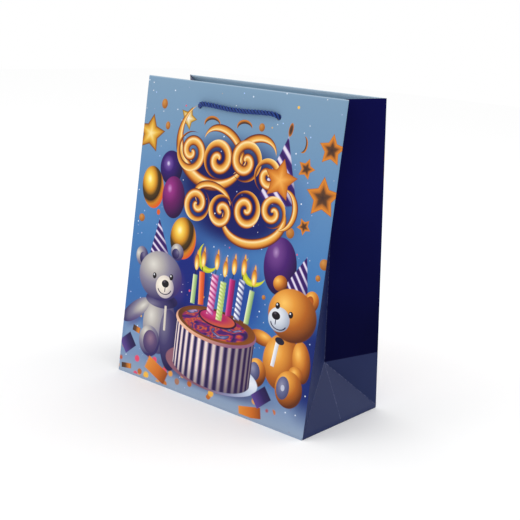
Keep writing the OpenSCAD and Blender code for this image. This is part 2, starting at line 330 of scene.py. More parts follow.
def ball(tree, where, canvas, at, size, stops, turn=0.0, light=(-0.3, 0.35), soft=0.07):
    """A rounded shape shaded from its highlight to its far side, or flat if stops is one colour."""
    place = add(tree, "CombineXYZ", *own_axes(tree, where, at, size, turn))
    reach = add(tree, "VectorMath LENGTH", place)
    mask = step(tree, reach, 1.0 - soft, 1.0, 1.0, 0.0)
    if isinstance(stops, str):
        return lay_on(tree, canvas, mask, stops)
    away = add(tree, "VectorMath DISTANCE", place, (*light, 0.0))
    return lay_on(tree, canvas, mask, shaded(tree, add(tree, "Math MULTIPLY", away, 0.72), stops))


def bar(tree, where, canvas, at, size, turn, stops, stripes=None):
    """A straight-sided bar shaded across its width, with or without slanting stripes."""
    x, y = own_axes(tree, where, at, size, turn)
    wide = add(tree, "Math ABSOLUTE", x)
    tall = add(tree, "Math ABSOLUTE", y)
    mask = step(tree, add(tree, "Math MAXIMUM", wide, tall), 0.9, 1.0, 1.0, 0.0)
    shade = shaded(tree, add(tree, "Math MULTIPLY_ADD", x, 0.5, 0.5), stops)
    if stripes:
        colour, count = stripes
        slant = add(tree, "Math MULTIPLY", y, count * math.pi)
        slant = add(tree, "Math MULTIPLY_ADD", x, 2.4, slant)
        band = step(tree, add(tree, "Math SINE", slant), -0.1, 0.25, 0.0, 0.85)
        shade = lay_on(tree, shade, band, colour)
    return lay_on(tree, canvas, mask, shade)


def star(tree, where, canvas, at, size, turn, stops, tips=5, waist=0.53):
    """A star with straight edges, shaded outwards from its middle."""
    x, y = own_axes(tree, where, at, (size, size), turn)
    half = math.pi / tips
    folded = add(tree, "Math PINGPONG", add(tree, "Math ARCTAN2", y, x), half)
    inner = Vector((waist * math.cos(half), waist * math.sin(half)))
    edge = (inner - Vector((1, 0))).normalized()
    slope = math.atan2(-edge.x, edge.y)
    swing = add(tree, "Math COSINE", add(tree, "Math SUBTRACT", folded, slope))
    level = add(tree, "Math MULTIPLY", from_middle(tree, x, y), swing)
    level = add(tree, "Math MULTIPLY", level, 1 / math.cos(slope))
    return lay_on(tree, canvas, step(tree, level, 0.93, 1.0, 1.0, 0.0), shaded(tree, level, stops))


def crescent(tree, where, canvas, at, size, turn, shift, inner_size, stops=GOLD_STROKE):
    """A tapering curved stroke between two ovals, shaded across."""
    outer = from_middle(tree, *own_axes(tree, where, at, size, turn))
    middle = (at[0] + shift[0], at[1] + shift[1])
    inner = from_middle(tree, *own_axes(tree, where, middle, inner_size, turn))
    inside = add(tree, "Math SUBTRACT", 1.0, outer)
    beyond = add(tree, "Math SUBTRACT", inner, 1.0)
    mask = step(tree, add(tree, "Math MINIMUM", inside, beyond), 0.0, 0.015, 0.0, 1.0)
    across = add(tree, "Math DIVIDE", beyond, add(tree, "Math ADD", inside, beyond))
    return lay_on(tree, canvas, mask, shaded(tree, across, stops))


def spiral(tree, where, canvas, at, size, turn, coils, hand=1):
    """A gold curl that winds in to its middle."""
    x, y = own_axes(tree, where, at, (size * hand, size), turn)
    wound = add(tree, "Math MULTIPLY", from_middle(tree, x, y), coils)
    wound = add(tree, "Math MULTIPLY_ADD", add(tree, "Math ARCTAN2", y, x), 0.5 / math.pi, wound)
    across = add(tree, "Math FRACT", wound)
    stroke = step(tree, add(tree, "Math PINGPONG", across, 0.5), 0.1, 0.14, 0.0, 1.0)
    mask = add(tree, "Math MULTIPLY", stroke, step(tree, from_middle(tree, x, y), 0.97, 1.0, 1.0, 0.0))
    tone = add(tree, "Math MULTIPLY_ADD", across, -1.25, 1.125)
    return lay_on(tree, canvas, mask, shaded(tree, tone, GOLD_STROKE))


def party_hat(tree, where, canvas, at, size, turn):
    """A pointed hat with slanting stripes, placed by the middle of its brim."""
    x, y = own_axes(tree, where, at, size, turn)
    wide = add(tree, "Math ABSOLUTE", x)
    cone = step(tree, add(tree, "Math ADD", wide, y), 0.95, 1.0, 1.0, 0.0)
    brim = add(tree, "Math MULTIPLY_ADD", add(tree, "Math MULTIPLY", wide, wide), -0.09, y)
    mask = add(tree, "Math MULTIPLY", cone, step(tree, brim, -0.09, -0.05, 0.0, 1.0))
    bands = add(tree, "Math MULTIPLY_ADD", x, 9.0, add(tree, "Math MULTIPLY", y, 27.0))
    band = add(tree, "Math MULTIPLY_ADD", add(tree, "Math SINE", bands), 0.5, 0.5)
    shade = lay_on(tree, shaded(tree, band, HAT), step(tree, x, 0.0, 0.9, 0.0, 0.6), "2a1460")
    return lay_on(tree, canvas, mask, shade)


def smile(tree, where, canvas, at, size, turn, colour=INK, width=0.1):
    """The lower part of a thin oval line."""
    x, y = own_axes(tree, where, at, size, turn)
    line = add(tree, "Math ABSOLUTE", add(tree, "Math SUBTRACT", from_middle(tree, x, y), 1.0))
    line = step(tree, line, width * 0.5, width, 1.0, 0.0)
    mask = add(tree, "Math MULTIPLY", line, step(tree, y, -0.3, -0.1, 1.0, 0.0))
    return lay_on(tree, canvas, mask, colour)


def cake(tree, where, canvas):
    """A fluted cake on a plate, with a glazed top."""
    canvas = ball(tree, where, canvas, (4, 35), (65, 21), PLATE, light=(0.8, 0.1), soft=0.03)
    canvas = glow(tree, where, canvas, (4, 30), (58, 17), "1e1648", 0.8, core=0.5)
    x, y = own_axes(tree, where, (4, 34), (54, 18))
    round_x = add(tree, "Math ARCSINE", x)
    bulge = add(tree, "Math COSINE", round_x)
    foot = step(tree, add(tree, "Math ADD", y, bulge), 0.0, 0.05, 0.0, 1.0)
    head = step(tree, y, 2.85, 2.9, 1.0, 0.0)
    wide = step(tree, add(tree, "Math ABSOLUTE", x), 0.985, 1.0, 1.0, 0.0)
    mask = add(tree, "Math MULTIPLY", add(tree, "Math MULTIPLY", foot, head), wide)
    flute = add(tree, "Math SINE", add(tree, "Math MULTIPLY", round_x, 31.0))
    ridge = shaded(tree, add(tree, "Math MULTIPLY_ADD", flute, 0.5, 0.5), FLUTES)
    ridge = lay_on(tree, ridge, step(tree, x, -0.4, 1.0, 0.0, 0.8), "2c1240")
    ridge = lay_on(tree, ridge, step(tree, y, -1.0, 0.4, 0.6, 0.0), "2c1f4c")
    canvas = lay_on(tree, canvas, mask, ridge)
    canvas = ball(tree, where, canvas, (4, 82), (56, 18), CAKE_RIM, light=(-0.9, -0.4), soft=0.02)
    canvas = ball(tree, where, canvas, (4.5, 84), (54.5, 16.6), CHOCOLATE, soft=0.03)
    # Splashes of coloured glaze, a centimetre or two across, over the chocolate
    on_piece = add(tree, "TexCoord").outputs["Object"]
    flat = add(tree, "Mapping", on_piece, named={"Scale": (48.0, 0.0, 120.0)})
    swirl = add(tree, "TexNoise", flat, named={"Scale": 1.0, "Detail": 1.5, "Distortion": 1.4})
    reach = from_middle(tree, *own_axes(tree, where, (3, 83), (47, 13.5)))
    canvas = lay_on(tree, canvas, step(tree, reach, 0.94, 1.0, 0.95, 0.0), shaded(tree, swirl, GLAZE))
    canvas = ball(tree, where, canvas, (6, 90.5), (27, 8.6), "2a1030", soft=0.04)
    return ball(tree, where, canvas, (6, 91), (24.5, 7.4), JAM, soft=0.05)


def candle(tree, where, canvas, foot, top, width, stops, stripes=None):
    """A leaning candle with a teardrop flame."""
    (x, y), (tip_x, tip_y) = foot, top
    lean = math.degrees(math.atan2(x - tip_x, tip_y - y))
    middle, reach = ((x + tip_x) / 2, (y + tip_y) / 2), math.hypot(tip_x - x, tip_y - y) / 2
    canvas = bar(tree, where, canvas, middle, (width, reach), lean, stops, stripes)
    canvas = glow(tree, where, canvas, (tip_x + 0.5, tip_y + 16), (7, 13), "c88838", 0.25)
    canvas = bar(tree, where, canvas, (tip_x, tip_y + 2.5), (0.5, 3), 0, [(0, "20141c"), (1, "20141c")])
    canvas = ball(tree, where, canvas, (tip_x + 0.9, tip_y + 18), (1.5, 8.5), "f2a83a", 3, soft=0.3)
    return ball(tree, where, canvas, (tip_x + 0.4, tip_y + 12.5), (3.4, 8.6), FLAME, 2, (-0.1, -0.35))


def grey_bear(tree, where, canvas):
    """The grey bear in its hat, sitting with one arm stretched out."""
    canvas = party_hat(tree, where, canvas, (-86, 141), (14, 38), 8)
    for at, size, turn, stops, light in (
            ((-75, 66), (25, 34), 0, GREY_COAT, (-0.5, 0.2)),
            ((-58, 52), (15, 34), 8, GREY_DARK, (-0.5, 0.5)),
            ((-112, 73), (9.5, 25), -52, GREY_COAT, (0.1, 0.5)),
            ((-75, 92), (24, 9), 4, GREY_DARK, (-0.6, -0.6)),
            ((-111, 133), (9.5, 11), 20, GREY_COAT, (-0.5, 0.4)),
            ((-109, 131), (5.5, 7), 20, GREY_DARK, (0.3, 0.6)),
            ((-60, 147), (9.5, 9), -20, GREY_COAT, (-0.4, 0.4)),
            ((-62, 145), (5.5, 5.5), -20, GREY_DARK, (0.3, 0.6)),
            ((-81, 117), (32.5, 27), 0, GREY_COAT, (-0.35, 0.4)),
            ((-72.5, 107), (13.5, 12.5), 0, MUZZLE, (-0.3, 0.2)),
            ((-87, 44), (16, 17.5), 0, GREY_COAT, (-0.4, 0.5)),
            ((-85.5, 43.5), (11, 13), 0, BURNT, (0, 0.3))):
        canvas = ball(tree, where, canvas, at, size, stops, turn, light, 0.05)
    for at, size, turn in (((-53, 112), (13, 24), 8), ((-112, 62), (20, 8), 38)):
        canvas = glow(tree, where, canvas, at, size, "4a3474", 0.5, turn)
    canvas = bar(tree, where, canvas, (-67, 74), (1.6, 14), 3, [(0.0, "e2dac8"), (1.0, "bdb2b0")])
    return face(tree, where, canvas, ((-89, 116), (-64.5, 119)), (-72, 110.5), (-72.5, 105.5), 4)


def gold_bear(tree, where, canvas):
    """The gold bear in its hat, sitting behind the cake."""
    canvas = party_hat(tree, where, canvas, (100, 140), (15, 37), -12)
    for at, size, turn, stops, light in (
            ((66, 86), (16, 7.5), -8, GOLD_COAT, (0.2, 0.4)),
            ((94, 68), (24, 29), 0, GOLD_COAT, (-0.4, 0.3)),
            ((64, 50), (13, 15), 0, GOLD_COAT, (-0.2, 0.6)),
            ((62, 51), (7, 9.5), 10, SOLE, (-0.3, 0.3)),
            ((117, 74), (11, 21), 12, GOLD_COAT, (-0.3, 0.4)),
            ((112, 60), (9, 9), 0, GOLD_COAT, (-0.2, 0.3)),
            ((80, 144), (9, 8), 20, GOLD_COAT, (-0.3, 0.4)),
            ((119, 134), (9, 11), -15, GOLD_COAT, (-0.3, 0.4)),
            ((117, 133), (4.5, 7), -15, RUST, (0, 0)),
            ((99, 116), (30, 26.5), -5, GOLD_COAT, (-0.4, 0.35)),
            ((84, 109), (13.5, 12.5), 0, COOL_MUZZLE, (-0.3, 0.3)),
            ((106, 44), (17, 19), -6, GOLD_COAT, (-0.4, 0.4)),
            ((99, 44), (8, 12), -4, SOLE, (-0.2, 0.2)),
            ((99, 44), (2.4, 3.2), 0, "b8bcd0", (0, 0))):
        canvas = ball(tree, where, canvas, at, size, stops, turn, light, 0.05)
    canvas = bar(tree, where, canvas, (84.5, 74), (2.4, 13), -7, [(0.0, "f4f4f4"), (1.0, "b9bccb")])
    canvas = ball(tree, where, canvas, (88.5, 88.5), (6, 3.6), "1c1c30", -10)
    return face(tree, where, canvas, ((80.5, 122), (97.5, 116.5)), (80, 112), (84, 105.5), -6)


def face(tree, where, canvas, eyes, nose, mouth, turn):
    """Two bright eyes, a nose and a smile."""
    for x, y in eyes:
        canvas = ball(tree, where, canvas, (x, y), (2.9, 3.4), "140f16")
        canvas = ball(tree, where, canvas, (x - 0.8, y + 1.1), (0.9, 1.0), "e8e8f0")
    canvas = ball(tree, where, canvas, nose, (5.4, 4.2), NOSE, turn, (-0.3, 0.5))
    canvas = bar(tree, where, canvas, (nose[0] + 0.3, nose[1] - 6), (0.55, 3), 0, [(0, INK), (1, INK)])
    return smile(tree, where, canvas, mouth, (9.5, 6.5), turn)


def backdrop(tree, where, canvas):
    """Pale blue at the top, royal blue behind the middle, a pale table below."""
    for at, size, colour, strength, turn, core in (
            ((0, 214), (122, 74), "163488", 0.92, 4, 0.25),
            ((-4, 232), (90, 52), "0c0e52", 0.97, 6, 0.45),
            ((16, 197), (82, 36), "0d1058", 0.95, 4, 0.45),
            ((-38, 118), (42, 64), "0c1a72", 0.97, 0, 0.45),
            ((34, 118), (40, 48), "173c92", 0.85, 0, 0.3),
            ((128, 70), (36, 66), "121f68", 0.95, 0, 0.4),
            ((-46, 60), (30, 44), "14124a", 0.95, 0, 0.5),
            ((-112, 46), (36, 26), "8ea6c2", 0.6, 0, 0.2),
            ((4, 24), (104, 15), "2a2460", 0.75, 0, 0.35)):
        canvas = glow(tree, where, canvas, at, size, colour, strength, turn, core)
    canvas = confetti(tree, canvas)
    for at, size in (((-102, 298), (4.4, 5.4)), ((-94, 276), (3.4, 4.4)), ((33, 289), (3.8, 4.2)),
                     ((-118, 174), (4.6, 4.4)), ((128, 172), (5.5, 5.5)), ((123, 158), (3, 3.2)),
                     ((84, 194), (5, 5.4)), ((62, 126), (2.4, 2.4))):
        canvas = ball(tree, where, canvas, at, size, DOT)
    return canvas


def stars_and_balloons(tree, where, canvas):
    """The big hat, the stars and the balloons in the upper half."""
    canvas = party_hat(tree, where, canvas, (64, 222), (24, 64), -3)
    canvas = ball(tree, where, canvas, (69, 291), (2.8, 7), ORANGE_STAR, -8, (0, 0), 0.1)
    for at, size, turn, stops in (
            ((-118, 265), 22, 84, GOLD_STAR), ((-66, 287), 13, 70, PALE_STAR),
            ((119, 278), 16, 88, ORANGE_STAR), ((93, 257), 11, 75, ORANGE_STAR),
            ((116, 233), 21, 92, ORANGE_STAR), ((99, 203), 9, 50, ORANGE_STAR)):
        canvas = star(tree, where, canvas, at, size, turn, stops)
    for at, size, turn, stops, light in (
            ((-82, 233), (16.5, 18.5), 8, VIOLET, (-0.25, 0.25)),
            ((-106, 209), (16.5, 23), 12, GOLD_BALL, (-0.25, 0.4)),
            ((-74, 203), (17, 22.5), 5, MAGENTA, (-0.35, 0.4)),
            ((-54, 163), (19, 22.5), 0, GOLD_BALL, (-0.3, 0.35)),
            ((77, 160), (20.5, 29), 3, PLUM, (-0.3, 0.45))):
        canvas = ball(tree, where, canvas, at, size, stops, turn, light, 0.04)
    canvas = ball(tree, where, canvas, (-94, 184), (2.6, 3.2), "d05a24")
    return ball(tree, where, canvas, (79, 129), (2.4, 3), "5a2284")


def gold_curls(tree, where, canvas):
    """Two rows of gold scrolls like curled ribbon, with long tapering swashes round them."""
    for at, size, turn, shift, inner_size in (
            ((-30, 262), (50, 44), -14, (5, 8), (45.5, 38.5)),
            ((37, 197), (42, 28), 12, (-2, 7), (38, 24)),
            ((-12, 262), (30, 22), 150, (-4, -5), (27, 18.5)),
            ((30, 262), (26, 20), 200, (3, -5), (23, 16.5)),
            ((-20, 212), (26, 16), 170, (2, -5), (24, 13)),
            ((72, 214), (18, 21), -8, (-5, 0), (15.5, 20))):
        canvas = crescent(tree, where, canvas, at, size, turn, shift, inner_size)
    for at, size, turn, coils, hand in (
            ((-56, 254), 21, 200, 1.5, 1), ((-18, 251), 20, 40, 1.35, -1), ((18, 254), 21, 320, 1.4, 1),
            ((48, 244), 17, 20, 1.3, -1), ((-40, 202), 18, 150, 1.4, -1), ((-6, 200), 17, 60, 1.3, 1),
            ((26, 207), 19, 250, 1.45, -1), ((60, 210), 16, 300, 1.3, 1)):
        canvas = spiral(tree, where, canvas, at, size, turn, coils, hand)
    for at, size, turn, shift in (((-32, 285), (11, 8), 180, (1, -4)), ((11, 287), (10, 7), 180, (1, -4)),
                                  ((86, 279), (5, 8), 0, (-2.5, 1))):
        canvas = crescent(tree, where, canvas, at, size, turn, shift, size, ORANGE_STAR)
    canvas = star(tree, where, canvas, (64, 242), 22, 84, BRIGHT_STAR)
    for at, turn in (((-16, 150), 75), ((46, 148), 25)):
        canvas = crescent(tree, where, canvas, at, (16, 15), turn, (4, 5), (15, 14), LEAF)
    return canvas


def candles_and_scraps(tree, where, canvas):
    """Seven candles on the cake, and scraps and boxes on the table."""
    for foot, top, width, stops, stripes in (
            ((-31, 98), (-31, 130), 3.2, PALE_WAX, None),
            ((-19, 99), (-22, 135), 4.0, ORANGE_WAX, None),
            ((20, 96), (20.5, 136), 4.0, PINK_WAX, None),
            ((31, 95), (33, 138), 4.0, WHITE_WAX, ("2a3480", 8)),
            ((44, 94), (47, 130), 3.4, PALE_WAX, None),
            ((-5, 92), (-3, 136), 5.0, ROSE_WAX, ("a81c70", 8)),
            ((8, 89), (9, 131), 4.2, LIME_WAX, ("a8c060", 11))):
        canvas = candle(tree, where, canvas, foot, top, width, stops, stripes)
    for at, size, turn, stops in (
            ((-72, 15), (17, 8), -22, ORANGE_BOX), ((62, 8), (15, 6), 12, ORANGE_BOX),
            ((-119, 34), (10, 9), 40, VIOLET_BOX), ((74, 27), (11, 8), 40, VIOLET_BOX),
            ((-108, 52), (6, 3.4), -10, ORANGE_STAR), ((-118, 8), (8, 3), 8, ORANGE_STAR)):
        canvas = bar(tree, where, canvas, at, size, turn, stops)
    return canvas


def picture_part(name, paint):
    """One layer of the picture as a group of its own: it paints on the canvas that it is given."""
    tree = bpy.data.node_groups.new(name, "ShaderNodeTree")
    tree.interface.new_socket("Place", in_out="INPUT", socket_type="NodeSocketVector")
    tree.interface.new_socket("Canvas", in_out="INPUT", socket_type="NodeSocketColor")
    tree.interface.new_socket("Colour", in_out="OUTPUT", socket_type="NodeSocketColor")
    source = tree.nodes.new("NodeGroupInput")
    canvas = paint(tree, source.outputs["Place"], source.outputs["Canvas"])
    out = tree.nodes.new("NodeGroupOutput")
    tree.links.new(next(s for s in canvas.outputs if s.enabled), out.inputs["Colour"])
    return tree


def confetti(tree, canvas):
    """Small scattered dots of gold, orange, white and pink, about 3 mm across and smaller."""
    where = add(tree, "TexCoord").outputs["Object"]
    on_table = step(tree, add(tree, "SeparateXYZ", where).outputs["Z"], 0.026, 0.036, 0.42, 0.0)
    for scale, size, stops, extra in ((62.0, 0.11, WARM_BITS, 0.0), (150.0, 0.13, PALE_BITS, 0.0),
                                      (105.0, 0.44, TABLE_BITS, 1.0), (70.0, 0.33, WARM_BITS, 1.0)):
        flat = add(tree, "Mapping", where, named={"Scale": (scale, 0.0, scale)})
        cells = add(tree, "TexVoronoi", flat, named={"Scale": 1.0})
        near = step(tree, cells.outputs["Distance"], size * 0.7, size, 1.0, 0.0)
        draw = add(tree, "SeparateColor", cells.outputs["Color"])
        rarity = add(tree, "Math MULTIPLY_ADD", on_table, -extra, 0.52 + 0.48 * extra)
        chosen = add(tree, "Math GREATER_THAN", draw.outputs["Red"], rarity)
        mask = add(tree, "Math MULTIPLY", near, chosen)
        canvas = lay_on(tree, canvas, mask, shaded(tree, draw.outputs["Green"], stops))
    return canvas


PICTURE = [picture_part(*layer) for layer in (
    ("backdrop", backdrop), ("stars_and_balloons", stars_and_balloons), ("gold_curls", gold_curls),
    ("grey_bear", grey_bear), ("gold_bear", gold_bear), ("cake", cake),
    ("candles_and_scraps", candles_and_scraps))]


def printed_paper(name, hand):
    """Art paper, offset printed under a gloss film: bright inks, paler along the top fold."""
    material, tree, where = new_material(name)
    # Across and up the panel in millimetres, with 1 in third place so that one product moves and turns
    place = add(tree, "Mapping", where, named={"Scale": (1000.0 * hand, 0.0, 1000.0 / COS),
                                               "Rotation": (-math.pi / 2, 0.0, 0.0),
                                               "Location": (0.0, 0.0, 1.0)})
    height = add(tree, "SeparateXYZ", where).outputs["Z"]
    colour = shaded(tree, add(tree, "Math MULTIPLY", height, 1 / 0.324), SKY)
    for layer in PICTURE:
        colour = add(tree, "Group", place, colour, node_tree=layer)
    fold = add(tree, "MapRange", height, 0.3225, 0.3236, 0.0, 0.5, interpolation_type="SMOOTHSTEP")
    colour = lay_on(tree, colour, fold, "b4c8d8")
    finish_filmed_paper(tree, where, colour, 0.33, 0.14)
    return material


def bottom_paper():
    """The sheet under the bag: solid navy print, with the picture's pale table carried over its lip."""
    material, tree, where = new_material("navy_and_blue_printed_bottom_paper")
    depth = add(tree, "Math ABSOLUTE", add(tree, "SeparateXYZ", where).outputs["Y"])
    lip = add(tree, "MapRange", depth, 0.0624, 0.0628, 0.0, 1.0)
    colour = add(tree, "Mix", lip, "0a0d3c", "8c9cb4", data_type="RGBA")
    finish_filmed_paper(tree, where, colour, 0.36, 0.1)
    return material


def plain_blue_paper():
    """The turned-in edge of the printed sheet: plain sky blue under the same gloss film."""
    material, tree, where = new_material("sky_blue_art_paper_gloss_film")
    height = add(tree, "SeparateXYZ", where).outputs["Z"]
    tone = add(tree, "MapRange", height, 0.28, 0.324, 0.0, 1.0)
    colour = add(tree, "ValToRGB", tone, stops=[(0.0, "6f98be"), (0.9, "86a5be"), (1.0, "b4c8d8")])
    finish_filmed_paper(tree, where, colour, 0.33, 0.14)
    return material


PRINT = printed_paper("picture_printed_art_paper_gloss_film", 1)
BACK_PRINT = printed_paper("picture_printed_art_paper_gloss_film_back", -1)
HEM_PAPER = plain_blue_paper()
# Two copies of the navy side paper: a darker, nearly glossless one with painted shade, and a lighter,
# glossier one with painted light
NAVY_PAINTED_SHADE = side_paper("navy_art_paper_gloss_film_painted_shade", "020322", "0d0d46", 0.02)
NAVY_PAINTED_LIGHT = side_paper("navy_art_paper_gloss_film_painted_light", "1c2852", "0e1244", 0.14)
BOTTOM = bottom_paper()
WHITE = white_paper()
CUT = cut_edge()
BOARD = greyboard()
ROPE = twisted_rope()

# ---- sheets of paper


def activate(piece):
    bpy.ops.object.select_all(action="DESELECT")
    piece.select_set(True)
    bpy.context.view_layer.objects.active = piece


def apply_modifier(piece, kind, **settings):
    activate(piece)
    modifier = piece.modifiers.new(kind.lower(), kind)
    for key, value in settings.items():
        setattr(modifier, key, value)
    bpy.ops.object.modifier_apply(modifier=modifier.name)


def grid_sheet(name, columns, rows, place, outward, outer):
    """A grid laid out by place(column, row), turned outward and given the paper's thickness."""
    bpy.ops.mesh.primitive_grid_add(x_subdivisions=columns, y_subdivisions=rows, size=1)
    piece = bpy.context.object
    piece.name = piece.data.name = name
    for vertex in piece.data.vertices:
        column = round((vertex.co.x + 0.5) * columns)
        row = round((vertex.co.y + 0.5) * rows)
        vertex.co = place(column, row) * MM
    bpy.ops.object.mode_set(mode="EDIT")
    bpy.ops.mesh.select_all(action="SELECT")
    bpy.ops.mesh.remove_doubles(threshold=0.00001)
    bpy.ops.object.mode_set(mode="OBJECT")
    facing = sum((p.normal * p.area for p in piece.data.polygons), Vector())
    if facing.dot(Vector(outward)) < 0:
        bpy.ops.object.mode_set(mode="EDIT")
        bpy.ops.mesh.select_all(action="SELECT")
        bpy.ops.mesh.flip_normals()
        bpy.ops.object.mode_set(mode="OBJECT")
    for material in (outer, WHITE, CUT):
        piece.data.materials.append(material)
    apply_modifier(piece, "SOLIDIFY", thickness=PAPER * MM, offset=-1, material_offset=1,
                   material_offset_rim=2, use_even_offset=True)
    activate(piece)
    bpy.ops.object.shade_smooth_by_angle(angle=math.radians(35))
    return piece


def spread(first, last, count):
    return [first + (last - first) * i / (count - 1) for i in range(count)]


def ripple(x, y, seed):
    """A slow, uneven wave between -1 and 1, about 70 mm long."""
    return noise.noise(Vector((x / 70, y / 95, seed)))


def panel_relief(side, x, up, seed):
    """How far the paper bows out between its edges, its level crease and the card in its hem."""
    held = max(0, 1 - (x / HALF_WIDTH) ** 2)
    if side == BACK:
        held *= min(1, abs(up - LEVEL_UP) / 60)
    low = min(1, max(0, (up - FOLD_UP) / 60))
    high = min(1, max(0, (PANEL_LENGTH - HEM - up) / 70))
    loose = held * low * (0.12 + 0.88 * high)
    relief = loose * (1.1 + 1.3 * ripple(x, up, seed))
    # The knotted rope pulls a shallow dent round each hole
    for hole_x in (-HOLE_X, HOLE_X):
        away = math.hypot(x - hole_x, up - HOLE_UP)
        relief -= 0.3 * math.exp(-(away / 7) ** 2)
    return relief


# A panel's section from edge to edge: rounded by a small turn at each glued edge, flat between them
TURN = [(HALF_WIDTH, -EDGE_TURN), (HALF_WIDTH - 0.06, -0.32), (HALF_WIDTH - 0.25, -0.1),
        (HALF_WIDTH - EDGE_TURN, 0)]
FLAT = [(x, 0) for x in spread(-HALF_WIDTH + 3, HALF_WIDTH - 3, 57)]
ACROSS = [(-x, out) for x, out in TURN] + FLAT + TURN[::-1]


def panel_sheet(name, side, low, seed):
    """A leaning panel in one sheet, bowed between its glued edges and turned in over the top."""
    fold = WALL / 2
    rows = [(up, 0) for up in spread(low, PANEL_LENGTH - fold, 72)]
    for angle in (30, 60, 90, 120, 150, 180):
        turned = math.radians(angle)
        rows.append((PANEL_LENGTH - fold + fold * math.sin(turned), -fold + fold * math.cos(turned)))
    hem_rows = [(up, -WALL) for up in spread(PANEL_LENGTH - fold - 2, PANEL_LENGTH - HEM, 12)]
    outside = len(rows)
    rows += hem_rows

    def place(column, row):
        x, out = ACROSS[column]
        up, depth = rows[row]
        if depth < 0:
            share = min(1, -depth / WALL)
            inset = x * (HALF_WIDTH - 1.6) / HALF_WIDTH
            return panel_point(side, x + (inset - x) * share, up, out * (1 - share) + depth)
        bowed = panel_relief(side, x, up, seed) if row < outside else 0
        return panel_point(side, x, up, out + bowed)

    picture = PRINT if side == FRONT else BACK_PRINT
    piece = grid_sheet(name, len(ACROSS) - 1, len(rows) - 1, place, panel_normal(side), picture)
    piece.data.materials.append(HEM_PAPER)
    for face in piece.data.polygons:
        if face.material_index == 0 and face.normal.dot(panel_normal(side)) < 0:
            face.material_index = 3
    return piece


def punch_holes(piece, side):
    """The two round handle holes, cut square through the panel and its hem."""
    for x in (-HOLE_X, HOLE_X):
        bpy.ops.mesh.primitive_cylinder_add(vertices=40, radius=3 * MM, depth=12 * MM,
                                            rotation=(math.pi / 2, 0, 0))
        punch = bpy.context.object
        aim = Quaternion((1, 0, 0), LEAN * -side)
        place = panel_point(side, x, HOLE_UP, 0) * MM
        punch.data.transform(Matrix.Translation(place) @ aim.to_matrix().to_4x4() @ punch.matrix_world)
        punch.matrix_world = Matrix.Identity(4)
        for slot in piece.material_slots:
            punch.data.materials.append(slot.material)
        for face in punch.data.polygons:
            face.material_index = 2
        apply_modifier(piece, "BOOLEAN", object=punch, operation="DIFFERENCE", solver="EXACT")
        bpy.data.objects.remove(punch)


front_sheet = panel_sheet("front_panel_sheet", FRONT, FOLD_UP - 0.2, 3.0)
punch_holes(front_sheet, FRONT)
back_sheet = panel_sheet("back_panel_sheet", BACK, LEVEL_UP + 0.02, 11.0)
punch_holes(back_sheet, BACK)


def foot_sheet(name):
    """The back panel's foot, between the bottom and the level crease."""
    rows = spread(FOLD_UP - 0.2, LEVEL_UP - 0.02, 16)

    def place(column, row):
        x, out = ACROSS[column]
        up = rows[row]
        return panel_point(BACK, x, up, out + panel_relief(BACK, x, up, 11.0))

    return grid_sheet(name, len(ACROSS) - 1, len(rows) - 1, place, panel_normal(BACK), BACK_PRINT)


foot = foot_sheet("back_panel_foot_sheet")

# ---- pleated sides


def edge_point(side, up):
    """The glued edge between a panel and a pleat."""
    return panel_point(side, HALF_WIDTH, up, -EDGE_TURN)


def crease_point(share):
    return Vector(APEX).lerp(Vector(MOUTH), share)


def half_pleat(name, side, hand, low, seed):
    """Half of a side, from a glued edge to the centre crease, bowed and turned in at the mouth."""
    columns = 18
    shares = spread(0, 1, 56)
    fold = 0.5
    rows = [(share, 0, 0) for share in shares]
    top = fold / (HEIGHT - APEX[2])
    for angle in (45, 90, 135, 180):
        turned = math.radians(angle)
        rows.append((1 - top + top * math.sin(turned), fold - fold * math.cos(turned), 1))
    rows += [(share, 2 * fold, 1) for share in spread(0.985, 1 - HEM / (HEIGHT - APEX[2]), 8)]

    def surface(across, share):
        edge = edge_point(side, low + (PANEL_LENGTH - low) * share)
        return edge.lerp(crease_point(share), across)

    def place(column, row):
        share, inward, turned_in = rows[row]
        across = column / columns
        if turned_in:
            across = 0.05 + 0.95 * across * 0.995 if inward >= fold else across
        point = surface(across, min(share, 1))
        slope = surface(across + 0.01, share) - surface(across - 0.01, share)
        rise = surface(across, share + 0.01) - surface(across, share - 0.01)
        normal = slope.cross(rise).normalized()
        if normal.x < 0:
            normal.negate()
        low_hold = min(1, share * 5)
        bow = math.sin(math.pi * across) * low_hold
        bulge = bow * (1.0 + 1.2 * ripple(point.y * 2, point.z, seed)) * (1 - 0.3 * share)
        point = point + normal * (bulge - inward)
        return Vector((point.x * hand, point.y, point.z))

    # The back half takes the navy copy with painted shade, the front half the copy with painted light
    paper = NAVY_PAINTED_SHADE if side == BACK else NAVY_PAINTED_LIGHT
    return grid_sheet(name, columns, len(rows) - 1, place, (hand, 0, 0), paper)


def corner_pleat(name, hand, seed):
    """The back lower corner, between the back diagonal and the level crease."""
    steps = 18

    def place(column, row):
        out = column / steps
        up = FOLD_UP + (LEVEL_UP - FOLD_UP) * row / steps
        point = Vector(APEX).lerp(edge_point(BACK, up), out)
        bow = math.sin(math.pi * row / steps) * math.sin(math.pi * out)
        point.x += 0.5 * bow * (1 + ripple(point.y, point.z, seed))
        return Vector((point.x * hand, point.y, point.z))

    # The corner takes the navy copy with painted light
    return grid_sheet(name, steps, steps, place, (hand, 0, 0), NAVY_PAINTED_LIGHT)


